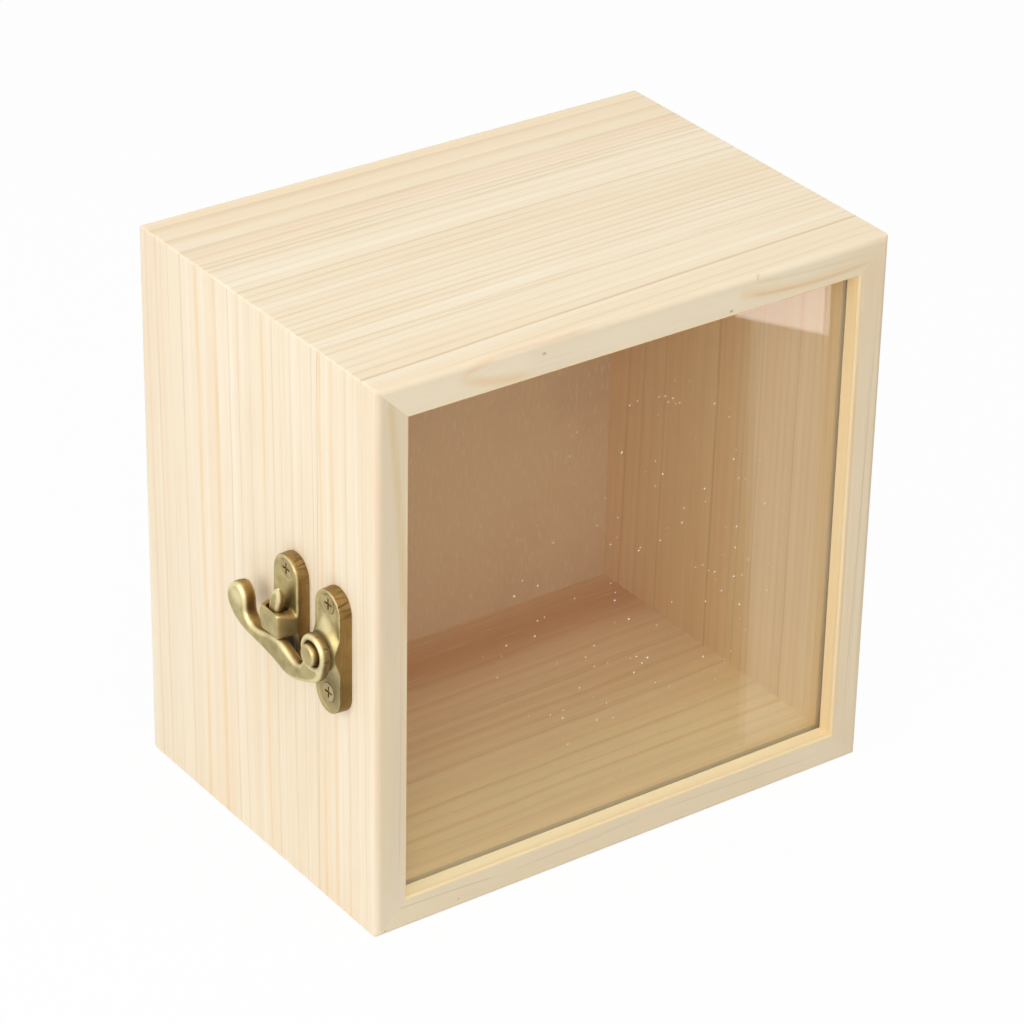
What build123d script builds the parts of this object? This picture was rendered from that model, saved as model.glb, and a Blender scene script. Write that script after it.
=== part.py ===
"""A small pine display box. Its lid is a mitred frame that holds a clear pane, it swings sideways on
two butt hinges, and a swinging hook on the left side latches it to the case.

Millimetres. The pane faces -Y, +X is to the right, +Z is up, and the box stands on Z = 0. The origin
is the middle of the closed box's underside. The latch is on the -X side, the hinges on the +X side.
"""

import os
from math import asin, atan, cos, degrees, radians, sin, tan

from build123d import *

os.makedirs("parts", exist_ok=True)

# Box
box_width = 100.0
box_height = 100.0
box_depth = 70.0
board_thickness = 6.0
lid_depth = 16.56
seam_gap = 0.08
corner_radius = 0.4
rim_radius = 1.1
eased_edge = 0.3

# Clear pane, held in a groove of the lid frame
pane_thickness = 1.0
pane_recess = 3.0
pane_groove_depth = 2.5
pane_clearance = 0.1

# Back panel, glued in a rabbet of the case
back_thickness = 4.0
back_rabbet_depth = 3.0
back_clearance = 0.1

# Latch plates. Heights are measured from the hook's rivet, distances across from the seam.
latch_height = 50.6
plate_width = 7.2
plate_draft = 0.1
plate_thickness = 2.3
plate_rim = 0.6
plate_dish = 0.15
dish_wall_angle = 60.0
pivot_from_seam = 6.2
pivot_plate_top = 10.6
pivot_plate_bottom = 11.8
pivot_screw_reach = 8.1
catch_from_seam = 6.0
catch_plate_top = 11.0
catch_plate_bottom = 10.7
catch_screw_reach = 8.6

# Round boss of the pivot plate, with a hollow slope down from it
boss_radius = 3.2
boss_height = 3.6
boss_slope = 2.3

# Socket block of the catch plate
block_front = 5.4
block_top = 1.9
block_bottom = 2.4
block_front_width = 4.6
block_edge = 0.4
block_top_slope = 0.6
block_bottom_slope = 0.9
socket_front_wall = 0.4
socket_floor = 2.3
socket_corner = 0.6

# Hook. It is cast in one piece with its eye, prong and finger curl.
hook_back = 3.7
hook_thickness = 1.6
hook_edge = 0.4
eye_radius = 3.15
eye_arc_start = -25.0
eye_arc_turn = 208.0
eye_recess_radius = 2.4
eye_recess_depth = 0.7
elbow_drop = 7.5
arm_drop = 5.9
arm_depth = 2.4
curl_reach = 12.2
curl_top = 2.1
curl_thickness = 2.2
curl_swell_start = 2.5
curl_swell_run = 4.5
prong_beyond_centre = 0.3
prong_width = 2.3
prong_back = 3.4
prong_front = 4.5
prong_root_angle = 17.0
prong_shoulder_angle = 21.0
prong_point_length = 2.3
prong_bevel = 1.6
prong_clearance = 0.35

# Rivet that the hook turns on
rivet_radius = 1.0
rivet_fit = 0.05
rivet_head_radius = 1.85
rivet_head_height = 1.55
rivet_head_edge = 0.5
rivet_tail_radius = 1.6
rivet_tail_height = 0.5
rivet_tail_gap = 0.1

# Countersunk wood screws
screw_clearance = 0.05
latch_screw_head_radius = 1.6
latch_screw_shank_radius = 0.85
latch_screw_length = 6.0
latch_screw_cross = 2.0
hinge_screw_head_radius = 1.3
hinge_screw_shank_radius = 0.7
hinge_screw_length = 4.5
hinge_screw_cross = 1.5
screw_head_angle = 90.0
screw_rim = 0.1
screw_point = 1.0
cross_width = 0.4
cross_depth = 0.4

# Butt hinges
hinge_height = 18.0
hinge_leaf_width = 7.5
hinge_leaf_thickness = 0.8
hinge_barrel_radius = 1.5
hinge_barrel_stand_off = 0.2
hinge_knuckles = 5
hinge_knuckle_gap = 0.15
hinge_swing_gap = 0.3
hinge_corner = 0.8
hinge_inset = 22.0
hinge_screw_spacing = 10.0
hinge_screw_setback = 4.8
pin_radius = 0.7
pin_fit = 0.05
pin_head_radius = 1.1
pin_head_height = 0.4

# Places that follow from the sizes above
front_y = -box_depth / 2
back_y = box_depth / 2
lid_back_y = front_y + lid_depth
case_front_y = lid_back_y + seam_gap
seam_y = lid_back_y + seam_gap / 2
left_x = -box_width / 2
right_x = box_width / 2
inner_width = box_width - 2 * board_thickness
inner_height = box_height - 2 * board_thickness
middle_z = box_height / 2
hinge_x = right_x + hinge_barrel_radius + hinge_barrel_stand_off
hinge_heights = {"lower": hinge_inset, "upper": box_height - hinge_inset}
block_height = block_top + block_bottom
hook_front = hook_back + hook_thickness
prong_radius = pivot_from_seam + catch_from_seam + prong_beyond_centre

# The latch is drawn on the left face as seen from outside: x runs from the seam to the front, y runs
# up from the rivet. The section planes stand square to that face.
latch_origin = (left_x, seam_y, latch_height)
latch_face = Plane(origin=latch_origin, x_dir=(0, -1, 0), z_dir=(-1, 0, 0))
latch_level = Plane(origin=latch_origin, x_dir=(0, -1, 0), z_dir=(0, 0, -1))
latch_upright = Plane(origin=latch_origin, x_dir=(0, 0, 1), z_dir=(0, -1, 0))


def save(piece, name):
    """Labels a finished piece and writes its file."""
    piece.part.label = name
    export_step(piece.part, f"parts/{name}.step")


def on_latch_face(across, up, out=0.0):
    """The plane that faces outwards at a place of the latch face."""
    spot = latch_face.from_local_coords((across, up, out))
    return Plane(origin=spot, x_dir=latch_face.x_dir, z_dir=latch_face.z_dir)


def on_hinge_side(away, up, out=0.0):
    """The plane that faces outwards at a place of the right face: away from the seam, up from the table."""
    return Plane(origin=(right_x + out, seam_y + away, up), x_dir=(0, 1, 0), z_dir=(1, 0, 0))


pivot_screw_spots = [(pivot_from_seam, pivot_screw_reach), (pivot_from_seam, -pivot_screw_reach)]
catch_screw_spots = [(-catch_from_seam, catch_screw_reach), (-catch_from_seam, -catch_screw_reach)]
plate_seat = plate_thickness - plate_dish
plate_draft_angle = degrees(atan(plate_draft / plate_thickness))
latch_pilot_depth = latch_screw_length - plate_seat + screw_clearance
hinge_pilot_depth = hinge_screw_length - hinge_leaf_thickness + screw_clearance


def hinge_screw_spots(side):
    """The screw places of one side's leaves: +1 is the case side of the seam, -1 the lid side."""
    return [
        (side * hinge_screw_setback, height + step * hinge_screw_spacing / 2)
        for height in hinge_heights.values()
        for step in (-1, 1)
    ]


# Mitred boards
def board_outline(side):
    """The four corners of one board in the front view, mitred from the outer to the inner corners."""
    half_out = box_width / 2
    half_in = inner_width / 2
    low_in = board_thickness
    high_in = box_height - board_thickness
    corners = {
        "left": [(-half_out, 0), (-half_in, low_in), (-half_in, high_in), (-half_out, box_height)],
        "right": [(half_out, 0), (half_out, box_height), (half_in, high_in), (half_in, low_in)],
        "top": [(-half_out, box_height), (-half_in, high_in), (half_in, high_in), (half_out, box_height)],
        "bottom": [(-half_out, 0), (half_out, 0), (half_in, low_in), (-half_in, low_in)],
    }
    return corners[side]


def mitred_board(side, near_y, far_y, rim_y, slot_near_y, slot_far_y, slot_depth):
    """One board of a mitred ring from near_y to far_y. Its outer rim at rim_y is rounded, and a groove
    or rabbet of slot_depth runs round the ring's inside from slot_near_y to slot_far_y."""
    near_plane = Plane.XZ.offset(-near_y)
    with BuildPart() as piece:
        with BuildSketch(near_plane):
            with Locations((0, middle_z)):
                Rectangle(box_width, box_height)
                Rectangle(inner_width, inner_height, mode=Mode.SUBTRACT)
        extrude(amount=near_y - far_y)
        rim = piece.faces().filter_by(Axis.Y).sort_by(lambda face: abs(face.center().Y - rim_y))[0]
        fillet(rim.outer_wire().edges(), rim_radius)
        long_corners = piece.edges().filter_by(Axis.Y).group_by(lambda edge: abs(edge.center().X))[-1]
        fillet(long_corners, corner_radius)
        if rim_y == near_y:
            lip = piece.faces().filter_by(Axis.Y).sort_by(Axis.Y)[0]
            chamfer(lip.inner_wires().edges(), eased_edge)
        with BuildSketch(Plane.XZ.offset(-slot_near_y)):
            with Locations((0, middle_z)):
                Rectangle(inner_width + 2 * slot_depth, inner_height + 2 * slot_depth)
        extrude(amount=slot_near_y - slot_far_y, mode=Mode.SUBTRACT)
        with BuildSketch(near_plane):
            Polygon(*board_outline(side), align=None)
        extrude(amount=near_y - far_y, mode=Mode.INTERSECT)
        if side == "left" and rim_y == near_y:
            with Locations(*[on_latch_face(*spot) for spot in pivot_screw_spots]):
                Hole(latch_screw_shank_radius + screw_clearance, latch_pilot_depth)
        if side == "left" and rim_y == far_y:
            with Locations(*[on_latch_face(*spot) for spot in catch_screw_spots]):
                Hole(latch_screw_shank_radius + screw_clearance, latch_pilot_depth)
        if side == "right":
            leaf_side = -1 if rim_y == near_y else 1
            with Locations(*[on_hinge_side(*spot) for spot in hinge_screw_spots(leaf_side)]):
                Hole(hinge_screw_shank_radius + screw_clearance, hinge_pilot_depth)
    return piece


pane_near_y = front_y + pane_recess
pane_far_y = pane_near_y + pane_thickness + 2 * pane_clearance
back_near_y = back_y - back_thickness

for board_side in ("left", "right", "top", "bottom"):
    lid_board = mitred_board(
        board_side, front_y, lid_back_y, front_y, pane_near_y, pane_far_y, pane_groove_depth
    )
    save(lid_board, f"lid_{board_side}_board")
    case_board = mitred_board(
        board_side, case_front_y, back_y, back_y, back_near_y, back_y, back_rabbet_depth
    )
    save(case_board, f"case_{board_side}_board")

# Clear pane
pane_slack = pane_groove_depth - pane_clearance
with BuildPart() as pane:
    with BuildSketch(Plane.XZ.offset(-pane_near_y - pane_clearance)):
        with Locations((0, middle_z)):
            Rectangle(inner_width + 2 * pane_slack, inner_height + 2 * pane_slack)
    extrude(amount=-pane_thickness)
save(pane, "pane")

# Back panel
back_reach = back_rabbet_depth - back_clearance
with BuildPart() as back_panel:
    with BuildSketch(Plane.XZ.offset(-back_near_y)):
        with Locations((0, middle_z)):
            Rectangle(inner_width + 2 * back_reach, inner_height + 2 * back_reach)
    extrude(amount=-back_thickness)
    chamfer(back_panel.faces().sort_by(Axis.Y)[-1].edges(), eased_edge)
save(back_panel, "back_panel")


# Latch plates
def plate_outline(centre, top, bottom, inset, out):
    """The round-ended outline of a plate, drawn in from its edge by inset, at a height over the wood."""
    with BuildSketch(latch_face.offset(out)) as outline:
        with Locations((centre, (top - bottom) / 2)):
            SlotOverall(top + bottom - 2 * inset, plate_width - 2 * inset, rotation=90)
    return outline.sketch


def plate_slab(centre, top, bottom):
    """A cast slab that narrows outwards and has a shallow dish inside its raised rim."""
    extrude(plate_outline(centre, top, bottom, 0, 0), amount=plate_thickness, taper=plate_draft_angle)
    dish = plate_outline(centre, top, bottom, plate_rim + plate_draft, plate_thickness)
    extrude(dish, amount=-plate_dish, taper=dish_wall_angle, mode=Mode.SUBTRACT)


def countersunk_holes(seats, head_radius, shank_radius, depth):
    """Countersunk holes for wood screws whose heads are flush with the seat planes."""
    with Locations(*seats):
        CounterSinkHole(
            shank_radius + screw_clearance,
            head_radius + screw_rim + screw_clearance,
            depth,
            screw_head_angle,
        )


def latch_screw_holes(spots):
    """Countersunk holes at the bottom of a plate's dishes."""
    seats = [on_latch_face(*spot, plate_seat) for spot in spots]
    countersunk_holes(seats, latch_screw_head_radius, latch_screw_shank_radius, plate_seat)


with BuildPart() as pivot_plate:
    plate_slab(pivot_from_seam, pivot_plate_top, pivot_plate_bottom)
    with BuildSketch(latch_level):
        with BuildLine():
            boss_corner = (pivot_from_seam + boss_radius, boss_height)
            slope_foot = (pivot_from_seam + boss_radius + boss_slope, plate_seat)
            slope = TangentArc(slope_foot, boss_corner, tangent=(-1, 0))
            Polyline(boss_corner, (pivot_from_seam, boss_height), (pivot_from_seam, 0))
            Polyline((pivot_from_seam, 0), (slope_foot[0], 0), slope_foot)
        make_face()
    revolve(axis=Axis(on_latch_face(pivot_from_seam, 0).origin, latch_face.z_dir))
    plate_body = plate_outline(pivot_from_seam, pivot_plate_top, pivot_plate_bottom, 0, 0)
    extrude(plate_body, amount=boss_height, taper=plate_draft_angle, mode=Mode.INTERSECT)
    latch_screw_holes(pivot_screw_spots)
    with Locations(on_latch_face(pivot_from_seam, 0, boss_height)):
        Hole(rivet_radius + rivet_fit)
    with BuildSketch(latch_face):
        with Locations((pivot_from_seam, 0)):
            Circle(rivet_tail_radius + rivet_tail_gap)
    extrude(amount=rivet_tail_height + rivet_tail_gap, mode=Mode.SUBTRACT)
save(pivot_plate, "pivot_plate")

socket_half = prong_width / 2 + prong_clearance
socket_left = prong_radius + socket_half - pivot_from_seam
socket_right = (prong_radius - socket_half) * cos(asin(block_bottom / prong_radius)) - pivot_from_seam
socket_front = block_front - socket_front_wall

with BuildPart() as catch_plate:
    plate_slab(-catch_from_seam, catch_plate_top, catch_plate_bottom)
    with BuildSketch(latch_level.offset(-block_top)) as block_section:
        with BuildLine():
            half_base = plate_width / 2 - plate_draft
            Polyline(
                (-catch_from_seam - half_base, 0),
                (-catch_from_seam - half_base, plate_thickness),
                (-catch_from_seam - block_front_width / 2, block_front),
                (-catch_from_seam + block_front_width / 2, block_front),
                (-catch_from_seam + half_base, plate_thickness),
                (-catch_from_seam + half_base, 0),
                close=True,
            )
        make_face()
        fillet(block_section.vertices().sort_by(Axis.X)[:2], block_edge)
    socket_block = extrude(amount=block_height, mode=Mode.PRIVATE)
    with BuildSketch(latch_face, mode=Mode.PRIVATE) as block_face:
        Polygon(
            (-catch_from_seam - half_base, block_bottom_slope - block_bottom),
            (-catch_from_seam - half_base, block_top - block_top_slope),
            (-catch_from_seam - block_front_width / 2, block_top),
            (-catch_from_seam + block_front_width / 2, block_top),
            (-catch_from_seam + half_base, block_top - block_top_slope),
            (-catch_from_seam + half_base, block_bottom_slope - block_bottom),
            (-catch_from_seam + block_front_width / 2, -block_bottom),
            (-catch_from_seam - block_front_width / 2, -block_bottom),
            align=None,
        )
    add(socket_block & extrude(block_face.sketch, amount=block_front, mode=Mode.PRIVATE))
    with BuildSketch(latch_level.offset(-block_top)):
        with Locations((-(socket_left + socket_right) / 2, (socket_floor + socket_front) / 2)):
            RectangleRounded(socket_left - socket_right, socket_front - socket_floor, socket_corner)
    extrude(amount=block_height, mode=Mode.SUBTRACT)
    latch_screw_holes(catch_screw_spots)
save(catch_plate, "catch_plate")

# Rivet
head_seat = hook_front - eye_recess_depth + rivet_fit
with BuildPart() as latch_rivet:
    for reach, radius in (
        (rivet_tail_height, rivet_tail_radius),
        (head_seat, rivet_radius),
    ):
        with BuildSketch(latch_face):
            with Locations((pivot_from_seam, 0)):
                Circle(radius)
        extrude(amount=reach)
    with BuildSketch(latch_face.offset(head_seat)):
        with Locations((pivot_from_seam, 0)):
            Circle(rivet_head_radius)
    extrude(amount=rivet_head_height)
    fillet(latch_rivet.faces().sort_by(Axis.X)[0].edges(), rivet_head_edge)
save(latch_rivet, "latch_rivet")


# Hook
def prong_point(radius, angle):
    """A place of the prong on the latch face, by its radius from the rivet and its angle above level."""
    return (pivot_from_seam - radius * cos(radians(angle)), radius * sin(radians(angle)))


def by_eye(across, up):
    """A place of the hook's outline that is measured from the rivet."""
    return (pivot_from_seam + across, up)


def by_prong(beyond, up):
    """A place of the hook's outline that is measured outwards from the prong."""
    return (pivot_from_seam - prong_radius - beyond, up)


arm_top = arm_depth - arm_drop
curl_back = hook_front - curl_thickness
with BuildPart() as latch_hook:
    with BuildSketch(latch_face.offset(curl_back)):
        with BuildLine():
            eye_arc = CenterArc(by_eye(0, 0), eye_radius, eye_arc_start, eye_arc_turn)
            Spline(
                eye_arc @ 1,
                by_eye(0.2 - eye_radius, -1.05 * eye_radius),
                by_eye(-4.0, 3.4 - elbow_drop),
                by_eye(-6.2, 3.6 - elbow_drop),
                by_prong(-2.6, arm_top + 0.9),
                by_prong(2.7, arm_top),
                by_prong(curl_reach - 6.2, arm_top + 0.1),
                by_prong(curl_reach - 5.0, arm_top + 1.4),
                by_prong(curl_reach - 4.8, curl_top - 1.8),
                by_prong(curl_reach - 2.9, curl_top),
                by_prong(curl_reach - 1.1, curl_top - 1.3),
                by_prong(curl_reach, -1.8),
                by_prong(curl_reach - 1.0, -3.5),
                by_prong(7.2, 0.5 - arm_drop),
                by_prong(2.7, -arm_drop),
                by_prong(-1.9, -0.8 - arm_drop),
                by_eye(-6.6, -elbow_drop),
                by_eye(-3.7, 0.8 - elbow_drop),
                by_eye(1.7, 2.0 - arm_drop),
                eye_arc @ 0,
            )
        make_face()
    extrude(amount=curl_thickness)
    with BuildSketch(latch_level.offset(-eye_radius)):
        with BuildLine():
            swell_start = by_prong(curl_swell_start, hook_back)
            swell_end = by_prong(curl_swell_start + curl_swell_run, curl_back)
            Spline(swell_start, swell_end, tangents=((-1, 0), (-1, 0)))
            far_left = by_prong(curl_reach + curl_thickness, 0)[0]
            far_right = pivot_from_seam + 2 * eye_radius
            Polyline(
                swell_end,
                (far_left, curl_back),
                (far_left, hook_front),
                (far_right, hook_front),
                (far_right, hook_back),
                swell_start,
            )
        make_face()
    extrude(amount=2 * eye_radius + elbow_drop, mode=Mode.INTERSECT)
    front_face = latch_hook.faces().sort_by(Axis.X)[0]
    fillet(front_face.edges(), hook_edge)
    with BuildSketch(latch_face.offset(prong_back)):
        with BuildLine():
            outer_radius = prong_radius + prong_width / 2
            inner_radius = prong_radius - prong_width / 2
            outer_side = ThreePointArc(
                prong_point(outer_radius, -prong_root_angle),
                prong_point(outer_radius, 0),
                prong_point(outer_radius, prong_shoulder_angle),
            )
            inner_side = ThreePointArc(
                prong_point(inner_radius, prong_shoulder_angle),
                prong_point(inner_radius, 0),
                prong_point(inner_radius, -prong_root_angle),
            )
            tip_angle = prong_shoulder_angle + degrees(prong_point_length / prong_radius)
            tip = prong_point(prong_radius, tip_angle)
            Polyline(outer_side @ 1, tip, inner_side @ 0)
            Line(inner_side @ 1, outer_side @ 0)
        make_face()
    extrude(amount=prong_front - prong_back)
    with BuildSketch(latch_upright.offset(tip[0])):
        Polygon((tip[1] - prong_bevel, prong_back), (tip[1], prong_front), (tip[1], prong_back), align=None)
    extrude(amount=2 * prong_width, both=True, mode=Mode.SUBTRACT)
    with Locations(on_latch_face(pivot_from_seam, 0, hook_front)):
        CounterBoreHole(rivet_radius + rivet_fit, eye_recess_radius, eye_recess_depth)
save(latch_hook, "latch_hook")


# Screws
def wood_screws(seats, head_radius, shank_radius, length, cross_length):
    """Countersunk cross-head screws, one separate solid for each seat plane, flush with that plane."""
    cone_depth = (head_radius - shank_radius) / tan(radians(screw_head_angle / 2))
    with BuildPart() as group:
        for seat in seats:
            with BuildSketch(Plane(origin=seat.origin, x_dir=seat.x_dir, z_dir=-seat.y_dir)):
                with BuildLine():
                    Polyline(
                        (0, 0),
                        (head_radius, 0),
                        (head_radius, -screw_rim),
                        (shank_radius, -screw_rim - cone_depth),
                        (shank_radius, screw_point - length),
                        (0, -length),
                        close=True,
                    )
                make_face()
            revolve(axis=Axis(seat.origin, seat.z_dir))
            with BuildSketch(seat):
                Rectangle(cross_length, cross_width)
                Rectangle(cross_width, cross_length)
            extrude(amount=-cross_depth, mode=Mode.SUBTRACT)
    return group


for plate_name, spots in (("pivot_plate", pivot_screw_spots), ("catch_plate", catch_screw_spots)):
    plate_screws = wood_screws(
        [on_latch_face(*spot, plate_seat) for spot in spots],
        latch_screw_head_radius,
        latch_screw_shank_radius,
        latch_screw_length,
        latch_screw_cross,
    )
    save(plate_screws, f"{plate_name}_screws")


# Hinges
def hinge_leaf(side, height):
    """One leaf with its knuckles round the pin: +1 is the case leaf, with three, -1 the lid leaf."""
    pitch = (hinge_height + hinge_knuckle_gap) / hinge_knuckles
    first = 0 if side > 0 else 1
    low_z = height - hinge_height / 2
    pin_line = Plane(origin=(hinge_x, seam_y, low_z))
    with BuildPart() as leaf:
        with BuildSketch(on_hinge_side(side * hinge_leaf_width / 2, height)):
            Rectangle(hinge_leaf_width, hinge_height)
        extrude(amount=hinge_leaf_thickness)
        far_edges = leaf.edges().filter_by(Axis.X).sort_by(lambda edge: side * edge.center().Y)[-2:]
        fillet(far_edges, hinge_corner)
        with BuildSketch(pin_line):
            Circle(hinge_barrel_radius + hinge_swing_gap)
        extrude(amount=hinge_height, mode=Mode.SUBTRACT)
        for index in range(first, hinge_knuckles, 2):
            with BuildSketch(pin_line.offset(index * pitch)):
                Circle(hinge_barrel_radius)
                with Locations((right_x + hinge_leaf_thickness / 2 - hinge_x, side * hinge_barrel_radius)):
                    Rectangle(hinge_leaf_thickness, 2 * hinge_barrel_radius)
            extrude(amount=pitch - hinge_knuckle_gap)
        with BuildSketch(pin_line):
            Circle(pin_radius + pin_fit)
        extrude(amount=hinge_height, mode=Mode.SUBTRACT)
        screw_rows = [
            on_hinge_side(side * hinge_screw_setback, height + step, hinge_leaf_thickness)
            for step in (-hinge_screw_spacing / 2, hinge_screw_spacing / 2)
        ]
        countersunk_holes(
            screw_rows, hinge_screw_head_radius, hinge_screw_shank_radius, hinge_leaf_thickness
        )
    return leaf, screw_rows


for hinge_name, hinge_z in hinge_heights.items():
    for leaf_name, leaf_side in (("case", 1), ("lid", -1)):
        leaf_piece, leaf_seats = hinge_leaf(leaf_side, hinge_z)
        save(leaf_piece, f"{hinge_name}_hinge_{leaf_name}_leaf")
        leaf_screws = wood_screws(
            leaf_seats,
            hinge_screw_head_radius,
            hinge_screw_shank_radius,
            hinge_screw_length,
            hinge_screw_cross,
        )
        save(leaf_screws, f"{hinge_name}_hinge_{leaf_name}_screws")
    with BuildPart() as hinge_pin:
        with BuildSketch(Plane(origin=(hinge_x, seam_y, hinge_z - hinge_height / 2 - pin_head_height))):
            Circle(pin_radius)
        extrude(amount=hinge_height + 2 * pin_head_height)
        for head_z in (hinge_z - hinge_height / 2 - pin_head_height, hinge_z + hinge_height / 2):
            with BuildSketch(Plane(origin=(hinge_x, seam_y, head_z))):
                Circle(pin_head_radius)
            extrude(amount=pin_head_height)
    save(hinge_pin, f"{hinge_name}_hinge_pin")
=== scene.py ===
"""Looks of a small pine display box: its boards, clear pane, cast hook latch and butt hinges.

Every length is in millimetres unless its name says otherwise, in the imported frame: the pane faces -Y,
the latch is on -X, the hinges are on +X and the box stands on Z = 0.
"""

import logging
import math
from dataclasses import dataclass
from enum import Enum
from typing import Any

import bpy
import numpy as np
from mathutils import Euler, Matrix, Vector


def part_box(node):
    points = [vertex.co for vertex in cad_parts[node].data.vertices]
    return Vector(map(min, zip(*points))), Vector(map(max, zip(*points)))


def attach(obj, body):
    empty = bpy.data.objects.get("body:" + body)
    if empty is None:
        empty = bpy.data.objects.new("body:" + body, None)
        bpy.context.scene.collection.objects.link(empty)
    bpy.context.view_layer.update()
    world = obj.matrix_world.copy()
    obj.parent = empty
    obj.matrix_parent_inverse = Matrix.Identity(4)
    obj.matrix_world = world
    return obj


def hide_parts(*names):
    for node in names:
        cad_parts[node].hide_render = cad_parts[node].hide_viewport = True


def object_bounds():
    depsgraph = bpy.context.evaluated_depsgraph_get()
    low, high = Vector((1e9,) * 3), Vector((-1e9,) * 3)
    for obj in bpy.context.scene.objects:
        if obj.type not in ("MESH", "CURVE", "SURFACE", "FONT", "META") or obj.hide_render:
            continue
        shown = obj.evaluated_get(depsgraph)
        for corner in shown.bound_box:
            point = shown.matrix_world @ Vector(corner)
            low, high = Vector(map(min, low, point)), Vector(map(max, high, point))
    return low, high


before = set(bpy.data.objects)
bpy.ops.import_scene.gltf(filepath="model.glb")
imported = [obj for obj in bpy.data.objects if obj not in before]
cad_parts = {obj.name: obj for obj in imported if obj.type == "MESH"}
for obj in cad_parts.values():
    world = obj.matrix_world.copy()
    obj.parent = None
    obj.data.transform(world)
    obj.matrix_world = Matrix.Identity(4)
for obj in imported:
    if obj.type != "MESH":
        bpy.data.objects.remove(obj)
CAD_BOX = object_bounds()

Colour = tuple[float, float, float]
Place = tuple[float, float, float]
METRES = 0.001
MILLIMETRES = 1000.0
LOG = logging.getLogger("box")


def middle_of(node: str) -> Vector:
    """Finds the middle of a node's box.

    Args:
        node: The node.

    Returns:
        The point, in millimetres.
    """
    low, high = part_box(node)
    return (low + high) * (MILLIMETRES / 2)


MIDDLE_Z = middle_of("case_left_board").z
LATCH_SIDE_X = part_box("case_left_board")[0].x * MILLIMETRES


class Grain(Enum):
    """Which way a board's fibres run."""

    UPRIGHT = "z"
    LEVEL = "x"


class Blend(Enum):
    """How one colour goes over another, as the Mix node names it."""

    MIX = "MIX"
    MULTIPLY = "MULTIPLY"


class Wire:
    """A number that runs between nodes; Python's operators on it add Math nodes."""

    def __init__(self, graph: "Graph", socket: bpy.types.NodeSocket) -> None:
        """Keeps the socket and the graph that it belongs to."""
        self.graph = graph
        self.socket = socket

    def _math(self, operation: str, *values: "Wire | float") -> "Wire":
        """Adds one Math node on the values."""
        return self.graph.add("ShaderNodeMath", {"operation": operation}, dict(enumerate(values)))

    def __add__(self, other: "Wire | float") -> "Wire":
        """The sum."""
        return self._math("ADD", self, other)

    def __radd__(self, other: float) -> "Wire":
        """The sum, with the number on the left."""
        return self._math("ADD", other, self)

    def __sub__(self, other: "Wire | float") -> "Wire":
        """The difference."""
        return self._math("SUBTRACT", self, other)

    def __rsub__(self, other: float) -> "Wire":
        """The difference, with the number on the left."""
        return self._math("SUBTRACT", other, self)

    def __mul__(self, other: "Wire | float") -> "Wire":
        """The product."""
        return self._math("MULTIPLY", self, other)

    def __rmul__(self, other: float) -> "Wire":
        """The product, with the number on the left."""
        return self._math("MULTIPLY", other, self)

    def __truediv__(self, other: "Wire | float") -> "Wire":
        """The quotient."""
        return self._math("DIVIDE", self, other)

    def __pow__(self, other: float) -> "Wire":
        """The power."""
        return self._math("POWER", self, other)

    def __abs__(self) -> "Wire":
        """The size without its sign."""
        return self._math("ABSOLUTE", self)

    def floor(self) -> "Wire":
        """The whole part."""
        return self._math("FLOOR", self)

    def fraction(self) -> "Wire":
        """What is left over the whole part."""
        return self._math("FRACT", self)

    def most(self, other: "Wire | float") -> "Wire":
        """The larger of the two."""
        return self._math("MAXIMUM", self, other)

    def ease(self, start: float, end: float) -> "Wire":
        """A smooth step from 0 to 1.

        Args:
            start: The value that gives 0.
            end: The value that gives 1, on either side of start.

        Returns:
            The step, never under 0 or over 1.
        """
        return self.graph.add(
            "ShaderNodeMapRange",
            {"interpolation_type": "SMOOTHSTEP"},
            {"Value": self, "From Min": start, "From Max": end},
        )

    def span(self, length: float) -> "Wire":
        """The value held between 0 and length."""
        return self._math("MINIMUM", self.most(0.0), length)


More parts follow.
